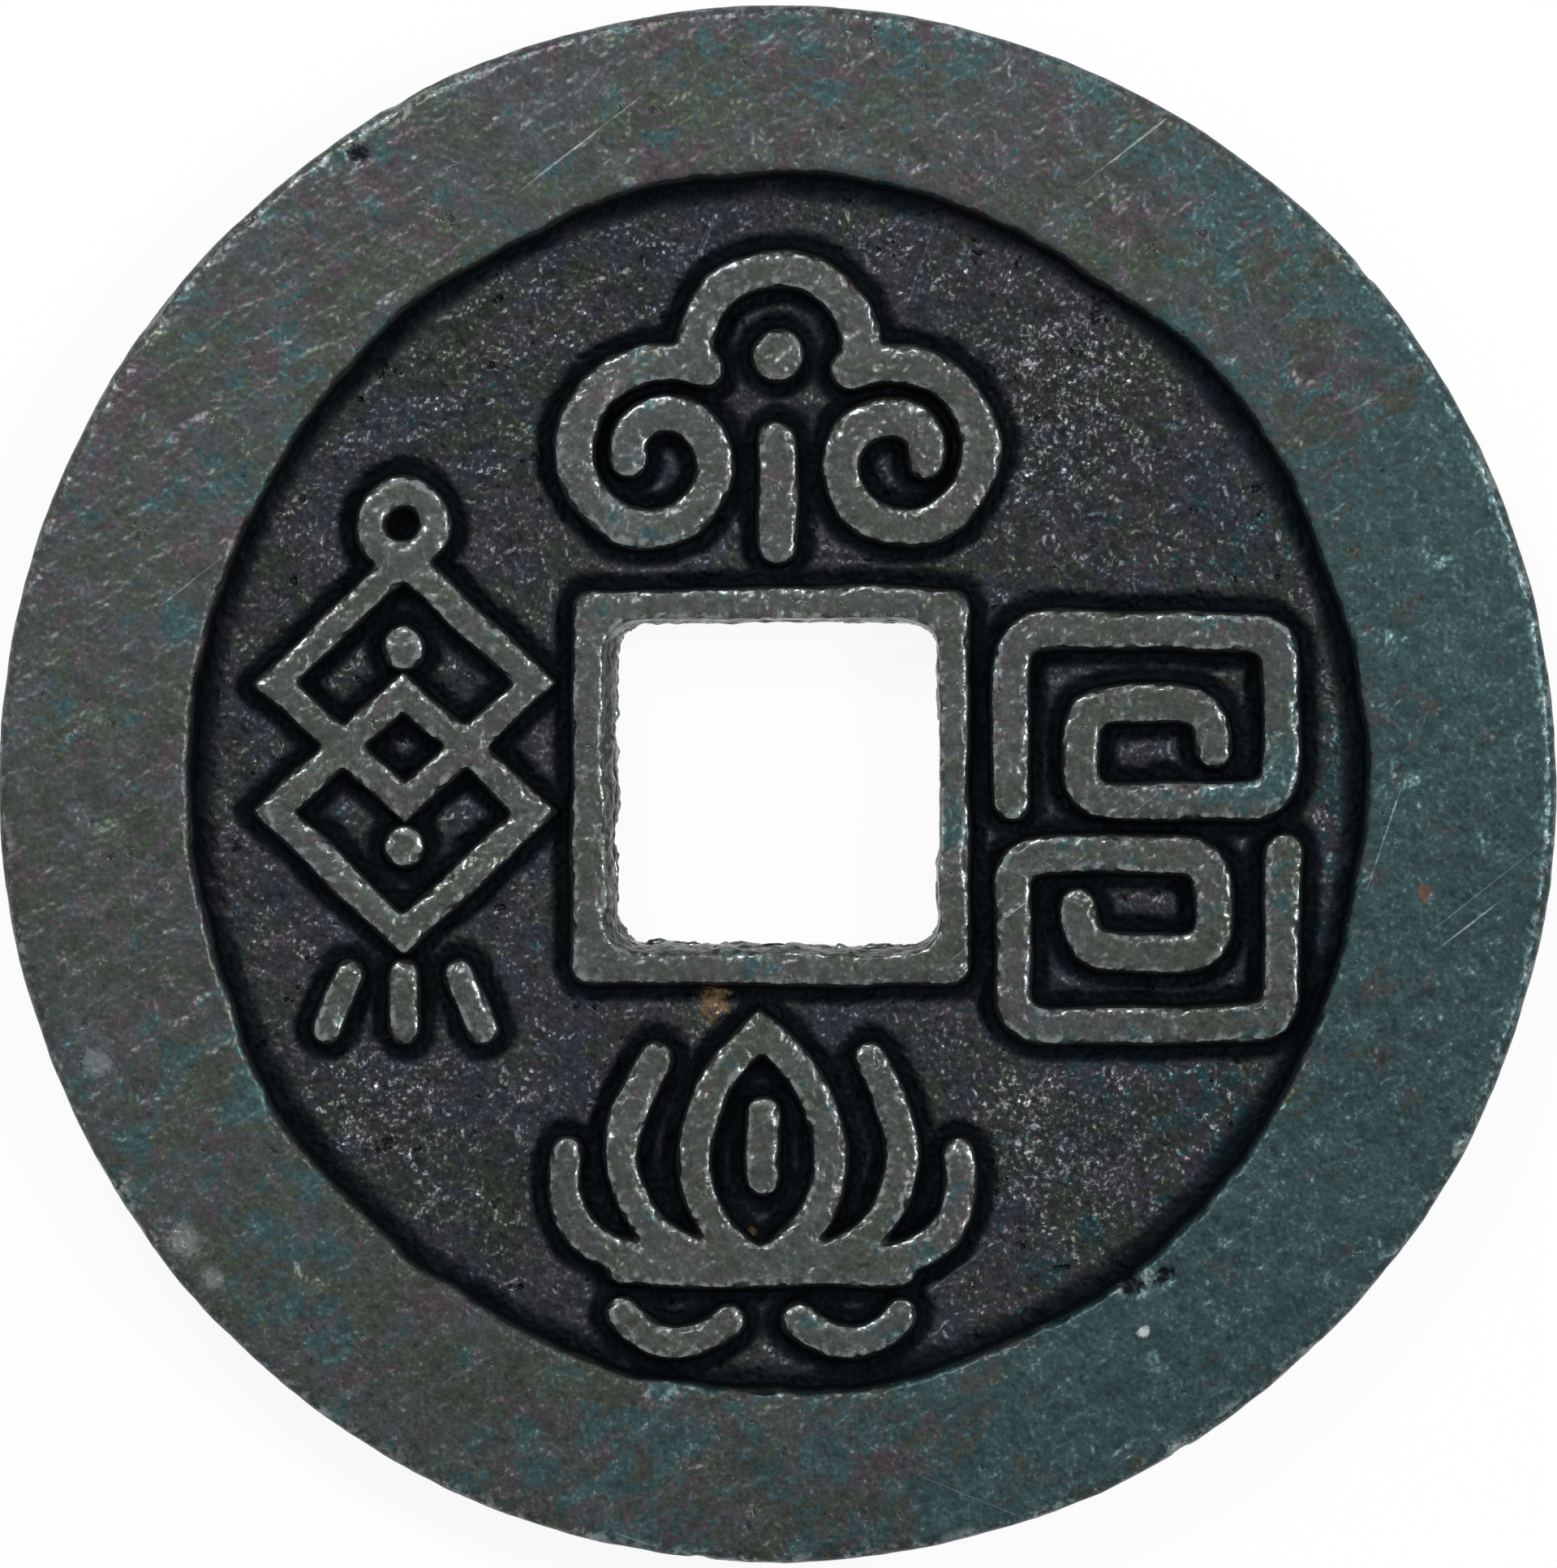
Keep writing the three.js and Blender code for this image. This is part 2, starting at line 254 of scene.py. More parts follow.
def new_piece(name: str, shape: bmesh.types.BMesh) -> bpy.types.Object:
    """Makes a linked object of a shape and frees the shape.

    Args:
        name: Name of the object and its mesh.
        shape: The shape in millimetres.

    Returns:
        The object.
    """
    mesh = bpy.data.meshes.new(name)
    shape.to_mesh(mesh)
    shape.free()
    piece = bpy.data.objects.new(name, mesh)
    bpy.context.scene.collection.objects.link(piece)
    return piece


def shape_of(node: bpy.types.Object) -> bmesh.types.BMesh:
    """Copies a node's mesh in millimetres, with its loose triangles merged.

    Args:
        node: A node of the frame.

    Returns:
        The merged shape.
    """
    shape = bmesh.new()
    shape.from_mesh(node.data)
    bmesh.ops.scale(shape, vec=(1 / MM,) * 3, verts=shape.verts)
    bmesh.ops.remove_doubles(shape, verts=shape.verts, dist=0.0005)
    return shape


def recast(piece: bpy.types.Object, voxel: float, smoothing: int) -> None:
    """Gives a piece an even skin of small faces with softened edges.

    Args:
        piece: The piece, in millimetres.
        voxel: Size of the faces in millimetres.
        smoothing: How many rounds of smoothing soften it.
    """
    remesh = piece.modifiers.new("even_skin", "REMESH")
    remesh.mode = "VOXEL"
    remesh.voxel_size = voxel
    soften = piece.modifiers.new("soft_edges", "SMOOTH")
    soften.factor = 0.5
    soften.iterations = smoothing
    depsgraph = bpy.context.evaluated_depsgraph_get()
    skin = bpy.data.meshes.new_from_object(piece.evaluated_get(depsgraph))
    piece.modifiers.clear()
    piece.data = skin
    skin.name = piece.name


def cut_by_hand(points: np.ndarray, reach: float = 0.07, size: float = 1.7) -> np.ndarray:
    """Shifts points sideways a little, as lines cut by hand in a mould wander.

    Args:
        points: Points in millimetres, one a row.
        reach: Largest usual shift in millimetres.
        size: Length over which the shift changes, in millimetres.

    Returns:
        The shifted points.
    """
    flat = points * np.array([1.0, 1.0, 0.0])
    shift_x = grain(flat, size, 2, 3)
    shift_y = grain(flat, size, 2, 4)
    return points + reach * np.stack([shift_x, shift_y, np.zeros(len(points))], axis=1)


def hole_burr(
    points: np.ndarray,
    normals: np.ndarray,
    sizes: CoinSizes,
    least_reach: float = 0.035,
    added_reach: float = 0.06,
) -> np.ndarray:
    """Finds how far the ragged burr stands into the hole.

    Args:
        points: Points in millimetres.
        normals: Unit normals at the points.
        sizes: The casting's sizes.
        least_reach: Usual reach of the burr at the upper right corner, in millimetres.
        added_reach: What is added to it towards the lower left corner, in millimetres.

    Returns:
        How far to push each point along its normal, in millimetres.
    """
    across = np.maximum(np.abs(points[:, 0]), np.abs(points[:, 1]))
    at_wall = 1.0 - smoothstep(np.abs(across - sizes.hole_half), 0.15, 0.5)
    inwards = -(points[:, :2] * normals[:, :2]).sum(axis=1) / np.maximum(across, 0.1)
    facing = smoothstep(inwards, 0.2, 0.7)
    lower_left = smoothstep(-points[:, 0] - points[:, 1], -1.0, 3.0)
    ragged = np.clip(grain(points, 0.45, 3, 8) + 0.15, 0.0, 1.0)
    coarse = 0.35 * grain(points, 1.6, 2, 9)
    return at_wall * facing * (ragged + coarse) * (least_reach + added_reach * lower_left)


def hole_polish(
    points: np.ndarray,
    normals: np.ndarray,
    sizes: CoinSizes,
    usual: float = 0.65,
    variation: float = 0.5,
) -> np.ndarray:
    """Finds how much string and rod have rubbed the hole's wall bright.

    Args:
        points: Points in millimetres.
        normals: Unit normals at the points.
        sizes: The casting's sizes.
        usual: How bright the wall usually is.
        variation: How far that varies from place to place.

    Returns:
        0 off the wall, up to 1 on it.
    """
    across = np.maximum(np.abs(points[:, 0]), np.abs(points[:, 1]))
    on_wall = 1.0 - smoothstep(across, sizes.hole_half + 0.02, sizes.hole_half + 0.16)
    upright = smoothstep(1.0 - np.abs(normals[:, 2]), 0.2, 0.6)
    return on_wall * upright * (usual + variation * grain(points, 1.2, 2, 12))


# Shader work


class Value:
    """A shader socket that takes part in sums and products."""

    def __init__(self, tree: bpy.types.NodeTree, socket: bpy.types.NodeSocket) -> None:
        """Wraps an output socket of a tree."""
        self.tree = tree
        self.socket = socket

    def math(self, operation: str, *operands: "Value | float") -> "Value":
        """Adds a Math node.

        Args:
            operation: The node's operation.
            *operands: Its inputs in order.

        Returns:
            The node's output.
        """
        node = self.tree.nodes.new("ShaderNodeMath")
        node.operation = operation
        for slot, operand in zip(node.inputs, operands):
            feed(self.tree, slot, operand)
        return Value(self.tree, node.outputs[0])

    def __add__(self, other: "Value | float") -> "Value":
        """Adds."""
        return self.math("ADD", self, other)

    def __radd__(self, other: float) -> "Value":
        """Adds to a number."""
        return self.math("ADD", other, self)

    def __sub__(self, other: "Value | float") -> "Value":
        """Takes away."""
        return self.math("SUBTRACT", self, other)

    def __rsub__(self, other: float) -> "Value":
        """Takes from a number."""
        return self.math("SUBTRACT", other, self)

    def __mul__(self, other: "Value | float") -> "Value":
        """Multiplies."""
        return self.math("MULTIPLY", self, other)

    def __rmul__(self, other: float) -> "Value":
        """Multiplies a number."""
        return self.math("MULTIPLY", other, self)

    def centred(self) -> "Value":
        """Takes away a noise's mean, so that it runs about 0."""
        return self - 0.5


def feed(tree: bpy.types.NodeTree, slot: bpy.types.NodeSocket, value: object) -> None:
    """Links a Value to an input socket, or sets the socket to a plain value.

    Args:
        tree: The tree of both.
        slot: The input socket.
        value: A Value, or what the socket itself can hold.
    """
    if isinstance(value, Value):
        tree.links.new(value.socket, slot)
    else:
        slot.default_value = value


class Bench:
    """Adds the nodes of one material."""

    def __init__(self, name: str) -> None:
        """Makes an empty material with its own tree.

        Args:
            name: The material's name.
        """
        self.material = bpy.data.materials.new(name)
        self.material.use_nodes = True
        self.tree = self.material.node_tree
        self.tree.nodes.clear()
        coordinates = self.node("ShaderNodeTexCoord", output="Object")
        self.place = self.node(
            "ShaderNodeVectorMath", {"operation": "SCALE"}, {0: coordinates, "Scale": 1 / MM}
        )

    def node(
        self,
        kind: str,
        settings: dict[str, object] | None = None,
        sockets: dict[str | int, object] | None = None,
        output: str | int = 0,
    ) -> Value:
        """Adds a node.

        Args:
            kind: The node's type.
            settings: Its settings, such as an operation.
            sockets: Values or links of its input sockets.
            output: Which output to give back.

        Returns:
            That output.
        """
        made = self.tree.nodes.new(kind)
        for name, value in (settings or {}).items():
            setattr(made, name, value)
        for name, value in (sockets or {}).items():
            feed(self.tree, made.inputs[name], value)
        return Value(self.tree, made.outputs[output])

    def streaks(
        self, degrees: float, along: float, across: float, seed: float, detail: float = 2.0
    ) -> Value:
        """Adds noise drawn out along one direction of the face.

        Args:
            degrees: The direction, counterclockwise from +X.
            along: Grains in a millimetre along it.
            across: Grains in a millimetre across it.
            seed: Fourth coordinate, so that no two patterns match.
            detail: Octaves of finer grain.

        Returns:
            Noise from 0 to 1.
        """
        turned = self.node(
            "ShaderNodeVectorRotate",
            {"rotation_type": "Z_AXIS"},
            {"Vector": self.place, "Angle": math.radians(-degrees)},
        )
        drawn = self.node(
            "ShaderNodeVectorMath", {"operation": "MULTIPLY"}, {0: turned, 1: (along, across, across)}
        )
        return self.node(
            "ShaderNodeTexNoise",
            {"noise_dimensions": "4D"},
            {"Vector": drawn, "W": seed, "Scale": 1.0, "Detail": detail, "Roughness": 0.6},
        )

    def split(self, vector: Value) -> tuple[Value, Value, Value]:
        """Splits a vector.

        Args:
            vector: The vector.

        Returns:
            Its three parts.
        """
        made = self.node("ShaderNodeSeparateXYZ", sockets={0: vector}).socket.node
        x, y, z = (Value(self.tree, part) for part in made.outputs)
        return x, y, z

    def noise(self, per_mm: float, detail: float = 3.0, rough: float = 0.55, seed: float = 0.0) -> Value:
        """Adds a noise texture in the object's millimetres.

        Args:
            per_mm: Grains in a millimetre.
            detail: Octaves of finer grain.
            rough: Strength of the finer grain.
            seed: Fourth coordinate, so that no two patterns match.

        Returns:
            Noise from 0 to 1.
        """
        return self.node(
            "ShaderNodeTexNoise",
            {"noise_dimensions": "4D"},
            {"Vector": self.place, "W": seed, "Scale": per_mm, "Detail": detail, "Roughness": rough},
        )

    def ramp(self, value: Value, low: float, high: float) -> Value:
        """Gives 0 at low and 1 at high, eased between; low may be the larger."""
        return self.node(
            "ShaderNodeMapRange",
            {"interpolation_type": "SMOOTHSTEP"},
            {"Value": value, "From Min": low, "From Max": high},
        )

    def mix(self, share: Value | float, first: object, second: object) -> Value:
        """Mixes two colours.

        Args:
            share: Share of the second.
            first: First colour.
            second: Second colour.

        Returns:
            The mixed colour.
        """
        return self.node(
            "ShaderNodeMix", {"data_type": "RGBA"}, {0: share, 6: first, 7: second}, output=2
        )

    def scaled(self, tint: Value, factor: Value | float) -> Value:
        """Multiplies a colour by a number."""
        return self.node("ShaderNodeVectorMath", {"operation": "SCALE"}, {0: tint, "Scale": factor})

    def mark(self, name: str) -> Value:
        """Reads a number kept on the piece's points."""
        return self.node("ShaderNodeAttribute", {"attribute_name": name}, output="Fac")

    def finish(self, surface: Value) -> None:
        """Links a shader to the material's output."""
        output = self.tree.nodes.new("ShaderNodeOutputMaterial")
        feed(self.tree, output.inputs["Surface"], surface)


Colour = tuple[float, float, float, float]


def colour(red: int, green: int, blue: int) -> Colour:
    """Turns a screen colour into a linear one.

    Args:
        red: Red from 0 to 255.
        green: Green from 0 to 255.
        blue: Blue from 0 to 255.

    Returns:
        The linear colour, opaque.
    """
    parts = [part / 255 for part in (red, green, blue)]
    linear = [part / 12.92 if part <= 0.04045 else ((part + 0.055) / 1.055) ** 2.4 for part in parts]
    return (linear[0], linear[1], linear[2], 1.0)


@dataclass(frozen=True)
class Spot:
    """A small stain at a place on the obverse, in millimetres from the hole's centre."""

    x: float
    y: float
    radius: float
    tint: Colour
    strength: float = 1.0


@dataclass(frozen=True)
class Grains:
    """The place on the coin in millimetres, and the noises that a finish is mixed from."""

    x: Value
    y: Value
    z: Value
    broad: Value
    middle: Value
    fine: Value
    dust: Value
    brushed: Value

    @classmethod
    def laid(cls, bench: Bench) -> "Grains":
        """Lays the noises of one material.

        Args:
            bench: The material's bench.

        Returns:
            The place and the noises.
        """
        x, y, z = bench.split(bench.place)
        return cls(
            x=x,
            y=y,
            z=z,
            broad=bench.noise(per_mm=0.22, detail=5.0, rough=0.62, seed=1.0),
            middle=bench.noise(per_mm=1.3, detail=6.0, rough=0.7, seed=2.0),
            fine=bench.noise(per_mm=5.0, detail=4.0, rough=0.75, seed=3.0),
            dust=bench.noise(per_mm=13.0, detail=2.0, rough=0.6, seed=4.0),
            brushed=bench.streaks(BRUSHED_DEGREES, along=0.9, across=3.6, seed=7.0, detail=5.0),
        )


@dataclass(frozen=True)
class PatinaFinish:
    """Dark patina over cast bronze.

    The five colours before worn are those of the patina, the covers say how much of it is green or
    warm, and the strengths from speckle to drag run from 0, none, to about 1. Bump is in millimetres.
    """

    name: str
    slot: Slot
    body: Colour
    green: Colour
    warm: Colour
    olive: Colour
    hollow: Colour
    worn: Colour
    green_cover: float
    warm_cover: float
    speckle: float
    flecks: float
    pits: float
    scratches: float
    roughness: float
    bump: float
    wear_strength: float
    drag: float
    # Strength of the painted sheen that lightens the upper left side of the finish.
    rub_and_sheen: float = 0.0
    spots: tuple[Spot, ...] = ()
    bright_patches: tuple[Spot, ...] = ()

    def build(self) -> bpy.types.Material:
        """Builds the finish.

        Returns:
            Its material.
        """
        bench = Bench(self.name)
        grains = Grains.laid(bench)
        pitting = bench.noise(per_mm=2.6, detail=3.0, rough=0.6, seed=6.0)
        pit_share = bench.ramp(pitting, 0.36, 0.27) * self.pits
        scratch_share = self.scratch_share(bench) * self.scratches
        wear_share = self.wear_share(bench, grains)
        crevice_share = self.crevice_share(bench, grains)

        tint = bench.scaled(self.mottled(bench, grains), self.tone(bench, grains))
        for share, over in (
            (self.fleck_share(bench, grains), self.worn),
            (pit_share, self.hollow),
            (scratch_share, self.worn),
            (wear_share, self.worn),
            (crevice_share * 0.95, self.hollow),
        ):
            tint = bench.mix(share, tint, over)
        for spot in self.spots:
            share = self.spot_share(bench, grains, spot, grains.fine) * spot.strength
            tint = bench.mix(share, tint, spot.tint)

        surface = bench.node(
            "ShaderNodeBsdfPrincipled",
            sockets={
                "Base Color": tint,
                "Metallic": 0.8 + crevice_share * 0.15 + wear_share * 0.2,
                "Roughness": (
                    self.roughness
                    + grains.middle.centred() * 0.4
                    + crevice_share * 0.35
                    - wear_share * 0.16
                ),
                "Specular IOR Level": 0.25,
                "Normal": self.cast_normal(bench, pit_share, scratch_share),
            },
        )
        bench.finish(surface)
        return bench.material

    def mottled(self, bench: Bench, grains: Grains) -> Value:
        """Mixes the patina's colours in patches, with the most green on the right.

        Args:
            bench: The material's bench.
            grains: The place and the noises.

        Returns:
            The patches' colour.
        """
        to_right = bench.ramp(grains.x - 0.35 * grains.y, 0.0, 15.0)
        greening = grains.broad * 0.3 + grains.middle * 0.5 + grains.brushed * 0.2 + to_right * 0.085
        green_edge = 0.64 - self.green_cover * 0.2
        warming = bench.noise(per_mm=0.9, detail=8.0, rough=0.8, seed=5.0) * 0.75 + grains.brushed * 0.25
        warm_edge = 0.62 - self.warm_cover * 0.2
        greying = bench.noise(per_mm=0.7, detail=8.0, rough=0.8, seed=8.0)
        tint = bench.mix(bench.ramp(greying, 0.48, 0.55), self.body, self.olive)
        tint = bench.mix(bench.ramp(warming, warm_edge, warm_edge + 0.05), tint, self.warm)
        return bench.mix(bench.ramp(greening, green_edge, green_edge + 0.035), tint, self.green)

    def tone(self, bench: Bench, grains: Grains) -> Value:
        """Finds how light the patina is, with grit in it and a painted sheen that lightens its upper left
        side.

        Args:
            bench: The material's bench.
            grains: The place and the noises.

        Returns:
            What to multiply the colour by, about 1.
        """
        grit = grains.fine.centred() * (2.4 * self.speckle) + grains.dust.centred() * (1.6 * self.speckle)
        # Painted sheen: the upper left side is made lighter, standing in for how the light falls on it.
        painted_sheen_side = bench.ramp(grains.y * 0.7 - grains.x * 0.3, -13.0, 13.0)
        clouded = grains.broad.centred() * 0.5 + grains.brushed.centred() * 0.8
        return 1.0 + grit + clouded + painted_sheen_side.centred() * self.rub_and_sheen

    def fleck_share(self, bench: Bench, grains: Grains) -> Value:
        """Finds the bright metal flecks, denser in the bright patches.

        Args:
            bench: The material's bench.
            grains: The place and the noises.

        Returns:
            0 beside the flecks, up to the finish's own strength on them.
        """
        sparkle = grains.dust * 0.4 + grains.brushed * 0.2 + grains.fine * 0.4
        for patch in self.bright_patches:
            sparkle = sparkle + self.spot_share(bench, grains, patch, grains.broad) * 0.04
        return bench.ramp(sparkle, 0.56, 0.68) * self.flecks

    def wear_share(self, bench: Bench, grains: Grains) -> Value:
        """Finds how bare the metal is on edges, broken up by noise.

        Args:
            bench: The material's bench.
            grains: The place and the noises.

        Returns:
            0 under whole patina, up to the finish's own strength on bare metal.
        """
        broken = bench.ramp(grains.fine * 0.6 + grains.middle * 0.4, 0.42, 0.58)
        wear = bench.mark("wear") * (0.1 + broken * 1.1)
        return bench.ramp(wear, 0.15, 0.85) * self.wear_strength

    @staticmethod
    def crevice_share(bench: Bench, grains: Grains) -> Value:
        """Finds how much dirt lies at the foot of walls.

        Args:
            bench: The material's bench.
            grains: The place and the noises.

        Returns:
            0 in the open and 1 in a crevice.
        """
        ragged = grains.fine.centred() * 0.5 + grains.middle.centred() * 0.5
        return bench.ramp(bench.mark("crevice") + ragged, 0.2, 0.9)

    @staticmethod
    def spot_share(bench: Bench, grains: Grains, spot: Spot, ragged: Value) -> Value:
        """Finds how much a stain covers.

        Args:
            bench: The material's bench.
            grains: The place and the noises.
            spot: The stain.
            ragged: Noise that makes its edge ragged.

        Returns:
            0 outside the stain and 1 within.
        """
        across = grains.x - spot.x
        up = grains.y - spot.y
        squared = across * across + up * up
        distance = squared.math("SQRT", squared)
        edge = distance + ragged.centred() * (spot.radius * 3.5)
        upper_side = bench.ramp(grains.z, 0.95, 1.05)
        return bench.ramp(edge, spot.radius, spot.radius * 0.45) * upper_side

    @staticmethod
    def scratch_share(bench: Bench) -> Value:
        """Draws fine handling scratches in three directions.

        Args:
            bench: The material's bench.

        Returns:
            0 beside the scratches and 1 on them.
        """
        total: Value | float = 0.0
        for degrees, seed in ((38.0, 11.0), (-22.0, 12.0), (71.0, 13.0)):
            lines = bench.streaks(degrees, along=0.09, across=5.0, seed=seed)
            total = bench.ramp(lines, 0.7, 0.76) + total
        return total

    def cast_normal(self, bench: Bench, pit_share: Value, scratch_share: Value) -> Value:
        """Roughens the surface as cast, with its streaks, pits and scratches.

        Args:
            bench: The material's bench.
            pit_share: How much of a pit each place is.
            scratch_share: How much of a scratch each place is.

        Returns:
            The surface's normal.
        """
        swells = bench.noise(per_mm=1.1, detail=1.0, rough=0.5, seed=21.0)
        streaks = bench.streaks(BRUSHED_DEGREES, along=0.8, across=3.2, seed=22.0, detail=1.0)
        lumps = bench.noise(per_mm=3.4, detail=1.0, rough=0.5, seed=23.0)
        grit = bench.noise(per_mm=8.0, detail=0.0, rough=0.5, seed=24.0)
        raised = swells + streaks * self.drag + lumps * 0.5 + grit * 0.3
        height = raised - pit_share * 0.5 - scratch_share * 0.15
        return bench.node(
            "ShaderNodeBump", sockets={"Strength": 1.0, "Distance": self.bump * MM, "Height": height}
        )


# Stains and finishes, in millimetres and screen colours

OCHRE = colour(94, 76, 54)
RUST = colour(92, 62, 50)
CHALK = colour(168, 172, 172)
SOOT = colour(10, 14, 18)

RIM_SPOTS = (
    Spot(12.46, -2.12, 0.2, RUST, 0.8),
    Spot(7.05, -10.53, 0.13, CHALK, 0.9),
    Spot(-13.09, -5.38, 0.3, CHALK, 0.2),
    Spot(-11.4, -8.8, 0.4, CHALK, 0.22),
    Spot(-10.9, -9.5, 0.28, CHALK, 0.2),
    Spot(-8.09, 12.1, 0.22, SOOT, 0.9),
    Spot(6.82, -9.6, 0.26, SOOT, 1.0),
    Spot(7.44, -9.44, 0.24, SOOT, 1.0),
)

FIELD_SPOTS = (
    Spot(-1.22, -4.2, 0.36, OCHRE, 0.9),
    Spot(-0.63, -8.7, 0.2, OCHRE, 0.6),
)

FIELD_PATCHES = (
    Spot(5.5, 7.2, 2.0, CHALK),
    Spot(-7.9, -6.2, 1.8, CHALK),
    Spot(5.3, -6.9, 1.9, CHALK),
)

RIM_FINISH = PatinaFinish(
    name="rim_patina",
    slot=Slot.RIM,
    body=colour(62, 67, 68),
    green=colour(49, 68, 70),
    warm=colour(66, 61, 65),
    olive=colour(58, 65, 57),
    hollow=colour(8, 14, 18),
    worn=colour(160, 168, 168),
    green_cover=0.62,
    warm_cover=0.6,
    speckle=0.7,
    flecks=0.5,
    pits=0.5,
    scratches=0.35,
    roughness=0.37,
    bump=0.075,
    wear_strength=1.0,
    drag=0.7,
    rub_and_sheen=0.42,
    spots=RIM_SPOTS,
)

FIELD_FINISH = PatinaFinish(
    name="field_patina",
    slot=Slot.FIELD,
    body=colour(41, 44, 50),
    green=colour(30, 49, 52),
    warm=colour(48, 46, 50),
    olive=colour(43, 47, 42),
    hollow=colour(7, 12, 17),
    worn=colour(156, 160, 162),
    green_cover=0.35,
    warm_cover=0.6,
    speckle=1.2,
    flecks=0.8,
    pits=0.8,
    scratches=0.1,
    roughness=0.3,
    bump=0.14,
    wear_strength=0.7,
    drag=0.2,
    spots=FIELD_SPOTS,
    bright_patches=FIELD_PATCHES,
)

RELIEF_FINISH = PatinaFinish(
    name="relief_patina",
    slot=Slot.RELIEF,
    body=colour(70, 74, 74),
    green=colour(48, 68, 70),
    warm=colour(72, 68, 70),
    olive=colour(66, 72, 64),
    hollow=colour(7, 12, 17),
    worn=colour(128, 134, 134),
    green_cover=0.4,
    warm_cover=0.5,
    speckle=0.65,
    flecks=0.6,
    pits=0.4,
    scratches=0.4,
    roughness=0.33,
    bump=0.085,
    wear_strength=0.7,
    drag=0.4,
    rub_and_sheen=0.25,
)


class Finishes:
    """The coin's materials, made once and shared by its pieces."""

    def __init__(self) -> None:
        """Builds the three finishes."""
        finishes = (RIM_FINISH, FIELD_FINISH, RELIEF_FINISH)
        self.materials = {finish.slot: finish.build() for finish in finishes}

    def dress(self, piece: bpy.types.Object, slot: Slot) -> None:
        """Gives a piece one finish.

        Args:
            piece: The piece.
            slot: The finish's slot.
        """
        piece.data.materials.clear()
        piece.data.materials.append(self.materials[slot])


def settle(piece: bpy.types.Object, slot: Slot, *nodes: str) -> None:
    """Lets a finished piece stand for its nodes and ride on the coin.

    Args:
        piece: The finished piece.
        slot: Its material slot; not used.
        *nodes: The nodes that it replaces.
    """
    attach(piece, BODY)
    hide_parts(*nodes)
    log.info("%s: %d points", piece.name, len(piece.data.vertices))


# The casting's pieces


